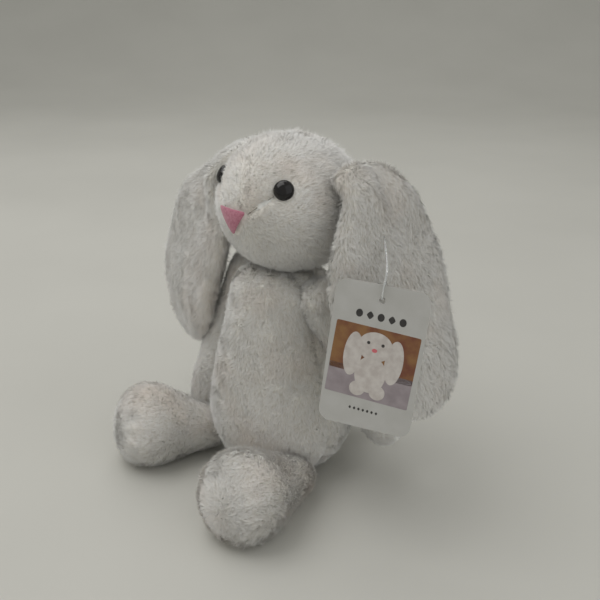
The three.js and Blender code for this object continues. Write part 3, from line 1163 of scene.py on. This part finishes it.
    def patch(self) -> None:
        """The nose: a soft rounded triangle of felt laid over the muzzle, thickest in the middle.

        A point at angle a and share r of the way out sits at r times the triangle's own radius, which is the
        smooth maximum of its three edges, and is then dropped on to the head's ellipsoid.
        """
        low, high = self.nose_box
        top, bottom = high[2] - self.nose_centre[2], low[2] - self.nose_centre[2]
        half = (high[0] - low[0]) / 2 * self.nose_spread
        slope = np.array([top - bottom, -half])
        slope = slope / np.linalg.norm(slope)
        reach = slope[0] * half + slope[1] * top
        lean, fall = slope / reach
        edges = np.array([[0, 1 / top], [lean, fall], [-lean, fall]])
        around, rings = 60, 12
        angle = np.linspace(0, 2 * math.pi, around, endpoint=False)
        way = np.stack([np.cos(angle), np.sin(angle)], -1)
        blunt = 7
        radius = 1 / (np.maximum(way @ edges.T, 0) ** blunt).sum(1) ** (1 / blunt)
        share = np.sin(np.linspace(0, math.pi, 2 * rings))
        side = np.where(np.arange(2 * rings) < rings, -0.25, 1.0)
        flat = share[:, None, None] * (way * radius[:, None])[None]
        x = flat[..., 0]
        z = flat[..., 1] + self.nose_centre[2] - self.centre[2]
        a, b, c = self.radii
        depth = np.sqrt(np.maximum(1 - (x / a) ** 2 - (z / c) ** 2, 0.01))
        surface = np.stack([x, -depth * b, z], -1) + self.centre
        normal = unit(np.stack([x / a**2, -depth / b, z / c**2], -1))
        crown = np.sqrt(np.maximum(1 - share**2, 0))[:, None, None] ** 0.7
        lift = 0.9 * MM + side[:, None, None] * self.nose_rise * crown
        points = surface + normal * lift
        centres = points.mean(1)
        body = points[1:-1].reshape(-1, 3)
        everything = np.concatenate([body, centres[:1], centres[-1:]])
        nose = put_mesh("nose_patch", everything, ring_faces(2 * rings - 2, around))
        nose.data.materials.append(self.felt)
        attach(nose, "head")
        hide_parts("nose")
        LOG.info("%s", nose.name)


@dataclass
class Ear:
    """One lop ear: two panels sewn edge to edge, gathered in a fold at the head and drooping past the cheek.

    Angles are degrees below level as it leaves the head, as it hangs and at its tip, and twist is how far its
    front edge turns in towards the cheek. Sizes in metres, shift being how far it hangs towards the back
    and cup how far its edges curl in towards the head.
    """

    shop: Workshop
    side: Side
    leave: float
    hang: float
    flare: float
    bend: float
    twist: float
    shift: float
    cup: float
    length: float
    half_width: float = 42 * MM
    thickness: float = 7.4 * MM
    fold: float = 6 * MM

    def line(self, count: int) -> tuple[Array, Array, Array, Array]:
        """The drooping centre line.

        The slope starts at leave, turns to hang over the bend, then eases to flare at the tip, and each point
        is the sum of the short steps before it.

        Args:
            count: how many points it has.

        Returns:
            Its points, the way across, the way out of its face, and the distances along it.
        """
        hinge = joint(f"ear_{self.side.value}_lift")
        out = np.cross(UP, np.array(hinge["axis"]))
        out = unit(out)
        start = np.array(hinge["pos_m"]) - out * 3.5 * MM
        s = np.linspace(0, self.length, count)
        bent = smooth_step(s, 0, self.bend)
        lifted = smooth_step(s, 0.6 * self.length, self.length)
        slope = np.radians(self.leave + (self.hang - self.leave) * bent - (self.hang - self.flare) * lifted)
        step = self.length / (count - 1)
        way = out[None] * np.cos(slope)[:, None] - UP[None] * np.sin(slope)[:, None]
        centres = start + np.concatenate([[np.zeros(3)], np.cumsum((way[1:] + way[:-1]) / 2 * step, axis=0)])
        level = np.cross(UP, out)[None]
        centres = centres + level * (self.shift * self.side.sign) * smooth_step(s, 0, 30 * MM)[:, None]
        square = out[None] * np.sin(slope)[:, None] + UP[None] * np.cos(slope)[:, None]
        turn = np.radians(self.twist * self.side.sign) * smooth_step(s, 0, 0.35 * self.length)[:, None]
        across = level * np.cos(turn) + square * np.sin(turn)
        face = square * np.cos(turn) - level * np.sin(turn)
        return centres, across, face, s

    def build(self) -> None:
        """Makes the ear's cover and pile."""
        count = 52
        centres, across, face, s = self.line(count)
        t = s / self.length
        swell_out = 0.46 + 0.54 * smooth_step(t, 0, 0.5)
        blunt = np.minimum(1, np.sqrt(t / 0.05))
        tip = np.sqrt(np.maximum(1 - np.maximum(0, (t - 0.7) / 0.3) ** 2, 0))
        half = self.half_width * swell_out * blunt * tip
        thick = self.thickness * np.minimum(1, np.sqrt(np.maximum(1 - t, 0) / 0.2)) * blunt
        skin = loft(f"ear_cover_{self.side.value}", centres, across, face, half, thick, 56, pinch=0.8)
        self.drape(skin, centres, across, face, half)
        swell(skin, Swelling(voxel=3.6 * MM, cap=1.2 * MM))
        nodes = [f"ear_back_{self.side.value}", f"ear_lining_{self.side.value}"]
        body = f"ear_{self.side.value}"
        self.shop.cover(skin, body, nodes, fill=0.4)
        past_bend = 10
        way = unit(centres[-1] - centres[past_bend])
        self.shop.pile.grow(skin, body, Coat(length=5.4 * MM, crinkle=0.6), along(way))

    def drape(self, skin: bpy.types.Object, centres: Array, across: Array, face: Array, half: Array) -> None:
        """Bends the flat ear: its edges curl, and a deep fold runs from the head and dies out halfway.

        Args:
            skin: the flat ear.
            centres: its centre line, shape (n, 3).
            across: the way across it at each of those points.
            face: the way out of its face at each of those points.
            half: its half width there, shape (n,).
        """
        points, _ = corners(skin.data)
        gap = np.linalg.norm(points[:, None, :] - centres[None, ::2], axis=2)
        row = np.clip(np.argmin(gap, axis=1) * 2, 0, len(centres) - 1)
        offset = points - centres[row]
        share = np.einsum("ij,ij->i", offset, across[row]) / np.maximum(half[row], 4 * MM)
        share = np.clip(share, -1, 1)
        t = row / (len(centres) - 1)
        gather = (1 - smooth_step(t, 0.08, 0.62)) * smooth_step(t, 0.03, 0.16)
        valley = self.fold * np.exp(-(((share - 0.12) / 0.26) ** 2)) * gather
        flat_tip = 1 - 0.8 * smooth_step(t, 0.65, 1)
        curl = self.cup * share**2 * (0.1 + 0.9 * smooth_step(t, 0.12, 0.5)) * flat_tip
        points = points - face[row] * (valley + curl)[:, None]
        skin.data.vertices.foreach_set("co", points.ravel())
        skin.data.update()


@dataclass
class Arm:
    """One arm, from its shoulder to its paw. Outline in millimetres: (radius, distance from the shoulder).

    It bows out round the belly, and its paw tucks back in.
    """

    shop: Workshop
    side: Side
    bow: float = 3 * MM
    tuck: float = 6 * MM
    knots: tuple = (
        (0, -19), (9, -16.5), (13.6, -6), (12.6, 20), (12.4, 54), (13.6, 84), (13.2, 97), (9.4, 106.5),
        (0, 111),
    )

    def build(self) -> None:
        """Makes the arm's cover and pile."""
        shoulder = np.array(joint(f"arm_{self.side.value}_swing")["pos_m"])
        points = node_points(f"arm_skin_{self.side.value}")
        tip = points[np.argmax(np.linalg.norm(points - shoulder, axis=1))]
        way = unit(tip - shoulder)
        radius, distance = outline(self.knots, 44)
        centres = shoulder + np.outer(distance, way)
        share = np.clip(distance / (110 * MM), 0, 1)
        bow = self.bow * np.sin(share * math.pi) - self.tuck * share**2
        centres = centres + np.outer(bow, [self.side.sign, 0, 0])
        across = unit(np.cross(way, UP))
        over = np.cross(across, way)
        skin = loft(f"arm_cover_{self.side.value}", centres, across, over, radius, radius, 30)
        swell(skin, Swelling(voxel=3.4 * MM, cap=1.4 * MM))
        body = f"arm_{self.side.value}"
        self.shop.cover(skin, body, [f"arm_skin_{self.side.value}"], fill=0.6)
        self.shop.pile.grow(skin, body, Coat(crinkle=1.1), along(way))


@dataclass
class Leg:
    """One leg and its round sole. Outline in millimetres: (radius, distance from the hip)."""

    shop: Workshop
    side: Side
    knots: tuple = (
        (0, -16), (10, -13), (14.6, 0), (17.4, 10), (21.6, 21), (25.8, 31), (27.2, 40), (26, 49), (20, 56.5),
        (10, 60), (0, 60.8),
    )
    sole_radius: float = 17 * MM
    pucker: float = 0.5 * MM

    def build(self) -> None:
        """Makes the leg's cover, the sole and the pile on both."""
        name = self.side.value
        hip = np.array(joint(f"leg_{name}_swing")["pos_m"])
        low, high = node_box(f"sole_{name}")
        way = unit((low + high) / 2 - hip)
        rim = float(((low + high) / 2 - hip) @ way)
        radius, distance = outline(self.knots, 48)
        centres = hip + np.outer(distance, way)
        across = unit(np.cross(way, UP))
        over = np.cross(across, way)
        skin = loft(f"leg_cover_{name}", centres, across, over, radius, radius, 40)
        swell(skin, Swelling(cap=1.2 * MM))

        def ruffle(points: Array) -> Array:
            """Depth of the gathers that run round the leg just before its sole."""
            offset = points - hip
            along = offset @ way
            turn = np.arctan2(offset @ over, offset @ across)
            rim_near = np.exp(-(((along - rim + 4 * MM) / (6 * MM)) ** 2))
            return self.pucker * (1 + np.sin(13 * turn)) * rim_near

        press(skin, ruffle)
        body = f"leg_{name}"
        self.shop.cover(skin, body, [f"leg_skin_{name}"], fill=0.8)
        self.shop.pile.grow(skin, body, Coat(crinkle=0.6), along(way))
        self.sole(name, body, hip + way * rim, way, across, over)

    def sole(self, name: str, body: str, centre: Array, way: Array, across: Array, over: Array) -> None:
        """The sole: a low round cushion with its pile combed out from the middle.

        Args:
            name: left or right.
            body: the CAD body that it rides on.
            centre: the middle of the leg's end.
            way: the way that it faces.
            across: one way across it.
            over: the other way across it.
        """
        turn = np.linspace(0, math.pi, 14)
        rise = -np.cos(turn) * np.where(turn > math.pi / 2, 5.2 * MM, 2.4 * MM)
        centres = centre + np.outer(rise - 0.5 * MM, way)
        girth = np.sin(turn) ** 0.7 * self.sole_radius
        pad = loft(f"sole_cover_{name}", centres, across, over, girth, girth, 36)
        swell(pad, Swelling(voxel=2.6 * MM, cap=0.8 * MM))
        self.shop.cover(pad, body, [f"sole_{name}"], fill=0.5)
        self.shop.pile.grow(pad, body, Coat(crinkle=0.6), lambda p, n: p - centre + 2 * MM * UP)


@dataclass
class HangTag:
    """The card on its clear loop, with a plain printed picture panel and rows of small ornaments."""

    stock: bpy.types.Material
    nylon: bpy.types.Material

    def frame_of_card(self) -> tuple[Array, Array, Array, Array]:
        """Finds the card's own directions from the spread of its points.

        Returns:
            The card's middle, and the ways right, up and out of its printed face.
        """
        points = node_points("hang_tag")
        centre = (points.min(0) + points.max(0)) / 2
        spread = points - centre
        _, _, axes = np.linalg.svd(spread - spread.mean(0), full_matrices=False)
        up = axes[0] * np.sign(axes[0] @ UP)
        out = axes[2] * np.sign(axes[2] @ np.array([0.5, -0.8, 0.2]))
        right = np.cross(up, out)
        rim_up = spread @ up
        middle = centre + up * (rim_up.max() + rim_up.min()) / 2
        rim_right = (points - middle) @ right
        middle = middle + right * (rim_right.max() + rim_right.min()) / 2
        rim_out = (points - middle) @ out
        return middle + out * (rim_out.max() + rim_out.min()) / 2, right, up, out

    def disc(
        self, name: str, at: tuple[float, float], size: tuple[float, float], level: int,
        material: bpy.types.Material, power: float = 2.0,
    ) -> bpy.types.Object:
        """A flat printed shape: a superellipse of the given half sizes in millimetres, laid on the card.

        Args:
            name: the piece's name.
            at: its middle from the card's middle, right and up, in millimetres.
            size: half width and half height in millimetres.
            level: ink layers beneath it.
            material: its ink.
            power: 2 is an ellipse, and a large number a rectangle.

        Returns:
            The new object.
        """
        middle, right, up, out = self.frame_of_card()
        around = 48
        angle = np.linspace(0, 2 * math.pi, around, endpoint=False)
        c, s = np.cos(angle), np.sin(angle)
        x = np.sign(c) * np.abs(c) ** (2 / power) * size[0] + at[0]
        y = np.sign(s) * np.abs(s) ** (2 / power) * size[1] + at[1]
        flat = middle + np.outer(x, right) * MM + np.outer(y, up) * MM
        lower = flat + out * (0.255 + 0.03 * level) * MM
        upper = lower + out * 0.03 * MM
        points = np.concatenate([lower, upper])
        ring = np.arange(around)
        after = (ring + 1) % around
        walls = np.stack([ring, after, after + around, ring + around], -1).tolist()
        obj = put_mesh(name, points, walls + [list(ring[::-1]), list(ring + around)], smooth=False)
        obj.data.materials.append(material)
        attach(obj, "tag")
        return obj

    def build(self) -> None:
        """Dresses the card, prints it and dresses its loop."""
        card = frame["nodes"]["hang_tag"]
        card.data.materials.clear()
        card.data.materials.append(self.stock)
        wall = Inked("print_warm_brown", "703C28", "8C643A", 9).make()
        table = Inked("print_mauve_grey", "8F8589", "A0969A", 8).make()
        pale = Inked("print_pale_cream", "BDB5B0", "CFC9C4", 4).make()
        dark = Inked("print_soft_black", "2A2827", "383534", 3).make()
        rose = Inked("print_rose", "C9606A", "D8757C", 3).make()
        self.disc("print_wall", (0, 3.4), (23.4, 13.6), 0, wall, 40)
        self.disc("print_table", (0, -15.6), (23.4, 8.6), 0, table, 40)
        self.disc("print_ear_left", (11.5, 0), (5, 12.5), 1, pale)
        self.disc("print_ear_right", (-11.5, 0), (5, 12.5), 1, pale)
        self.disc("print_body", (0, -9.5), (8.6, 10.5), 2, pale)
        self.disc("print_head", (0, 6.5), (9.6, 8.2), 3, pale)
        self.disc("print_foot_left", (5.6, -18.8), (4.4, 4.2), 3, pale)
        self.disc("print_foot_right", (-5.6, -18.8), (4.4, 4.2), 3, pale)
        self.disc("print_eye_left", (4, 8.2), (0.9, 0.9), 4, dark)
        self.disc("print_eye_right", (-4, 8.2), (0.9, 0.9), 4, dark)
        self.disc("print_nose", (0, 4.4), (1.5, 1.1), 4, rose)
        for i in range(5):
            power = 1.3 if i % 2 else 2
            self.disc(f"print_ornament_{i + 1}", (-12 + 6 * i, 23.2), (1.9, 2.2), 0, dark, power)
        for i in range(7):
            self.disc(f"print_small_ornament_{i + 1}", (-7.5 + 2.5 * i, -30.6), (0.7, 0.9), 0, dark, 1.3)
        LOG.info("hang_tag and its print")
        loop = frame["nodes"]["tag_loop"]
        loop.data.materials.clear()
        loop.data.materials.append(self.nylon)
        loop.data.polygons.foreach_set("use_smooth", [True] * len(loop.data.polygons))


@dataclass
class Insides:
    """The filling and the washers, which stay as the frame has them."""

    def build(self) -> None:
        """Gives each inner piece its own stuff."""
        fillings = {
            "stuffing": Filling("loose_polyester_fibre", "E6E6E3", "F8F8F6", 4).make(),
            "pellet": Filling("pellets_in_a_cotton_bag", "C9C4B6", "E0DCCF", 3).make(),
            "washer": Filling("moulded_polypropylene", "DADAD6", "E8E8E5", 5).make(),
        }
        for name, node in frame["nodes"].items():
            for word, filling in fillings.items():
                if word in name:
                    node.data.materials.clear()
                    node.data.materials.append(filling)
        LOG.info("fillings and washers dressed")


@dataclass
class Studio:
    """A seamless pale sweep, two large soft lights overhead, a weak fill from the right, and the camera."""

    azimuth: float = 47.5
    elevation: float = 22.0
    distance: float = 490 * MM
    field: float = 42.0
    target: tuple = (17 * MM, 0, 121 * MM)

    def build(self) -> None:
        """Sets up the camera, the sweep and the lights."""
        a, e = math.radians(self.azimuth), math.radians(self.elevation)
        back = np.array([math.sin(a) * math.cos(e), -math.cos(a) * math.cos(e), math.sin(e)])
        target = np.array(self.target)
        camera = bpy.data.objects.new("camera", bpy.data.cameras.new("camera"))
        camera.data.angle = math.radians(self.field)
        camera.data.clip_start = 0.01
        camera.location = target + back * self.distance
        camera.rotation_euler = (math.pi / 2 - e, 0, a)
        bpy.context.collection.objects.link(camera)
        bpy.context.scene.camera = camera
        self.sweep(a)
        view = np.array([math.sin(a), -math.cos(a), 0])
        right = np.array([math.cos(a), math.sin(a), 0])
        self.panel("key", -0.6 * right + 0.1 * view + 1.4 * UP, 1.1, 7.0, (1.0, 0.99, 0.97))
        self.panel("top", -0.3 * right - 1.0 * view + 1.5 * UP, 1.3, 6.0, (1.0, 0.995, 0.98))
        self.panel("fill", 0.9 * right + 0.9 * view + 0.9 * UP, 1.8, 3.4, (0.97, 0.98, 1.0))
        world = bpy.context.scene.world or bpy.data.worlds.new("world")
        bpy.context.scene.world = world
        world.use_nodes = True
        ground = world.node_tree.nodes.get("Background")
        ground.inputs["Color"].default_value = linear("DCDCD8")
        ground.inputs["Strength"].default_value = 0.62
        bpy.context.scene.view_settings.view_transform = "Standard"

    def panel(self, name: str, place: Array, size: float, power: float, colour: tuple) -> None:
        """A square soft light aimed at the bunny's middle.

        Args:
            name: the light's name.
            place: where it hangs, in metres.
            size: length of its side, in metres.
            power: in watts.
            colour: linear red, green and blue.
        """
        lamp = bpy.data.lights.new(name, "AREA")
        lamp.size = size
        lamp.energy = power
        lamp.color = colour
        obj = bpy.data.objects.new(name, lamp)
        aim = np.array(self.target) - place
        length = np.linalg.norm(aim)
        obj.location = place
        obj.rotation_euler = (math.acos(-aim[2] / length), 0, math.atan2(aim[1], aim[0]) - math.pi / 2)
        bpy.context.collection.objects.link(obj)

    def sweep(self, turn: float) -> None:
        """The paper sweep: flat floor that curves up far behind the bunny, seen from the camera's side.

        Args:
            turn: the camera's azimuth, in radians.
        """
        across = np.linspace(-4, 4, 3)
        run = np.concatenate([np.linspace(-3, 1.6, 6), 1.6 + 1.4 * np.sin(np.linspace(0.1, math.pi / 2, 14))])
        rise = np.concatenate([np.zeros(6), 1.4 * (1 - np.cos(np.linspace(0.1, math.pi / 2, 14)))])
        run, rise = np.append(run, run[-1]), np.append(rise, 4.0)
        right = np.array([math.cos(turn), math.sin(turn), 0])
        ahead = np.array([-math.sin(turn), math.cos(turn), 0])
        points = (
            across[None, :, None] * right + run[:, None, None] * ahead + rise[:, None, None] * UP
        ).reshape(-1, 3)
        i, j = np.meshgrid(np.arange(len(run) - 1), np.arange(2), indexing="ij")
        faces = np.stack([i * 3 + j, i * 3 + j + 1, (i + 1) * 3 + j + 1, (i + 1) * 3 + j], -1).reshape(-1, 4)
        mesh = bpy.data.meshes.new("sweep")
        mesh.from_pydata(points.tolist(), [], faces.tolist())
        mesh.polygons.foreach_set("use_smooth", [True] * len(mesh.polygons))
        floor = bpy.data.objects.new("sweep", mesh)
        bpy.context.collection.objects.link(floor)
        material, tree, shader = new_material("seamless_paper")
        colour = noise_between(tree, 300, linear("C4C3BD"), linear("C8C7C1"))
        tree.links.new(colour, shader.inputs["Base Color"])
        shader.inputs["Roughness"].default_value = 0.85
        mesh.materials.append(material)


def main() -> None:
    """Builds the studio and the bunny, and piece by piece."""
    logging.basicConfig(level=logging.INFO, format="%(message)s")
    Studio().build()
    shop = Workshop(PlushBacking().make(), Pile(PlushPile().make()))
    Torso(shop).build()
    Head(shop, EyePlastic().make(), NoseFelt().make(), SeamShadeThread().make()).build()
    Ear(shop, Side.LEFT, leave=12, hang=72, flare=52, bend=34 * MM, twist=0, shift=6 * MM, cup=5 * MM,
        length=156 * MM).build()
    Ear(shop, Side.RIGHT, leave=14, hang=72, flare=80, bend=38 * MM, twist=60, shift=-14 * MM, cup=-7 * MM,
        length=160 * MM).build()
    for side in Side:
        Arm(shop, side).build()
        Leg(shop, side).build()
    # The card's grey is painted shade: white card stock darkened for the shade on its face.
    HangTag(Inked("coated_card_painted_shade", "B6B5B1", "BDBCB9", 12).make(), ClearNylon().make()).build()
    Insides().build()


if __name__ == "__main__":
    main()
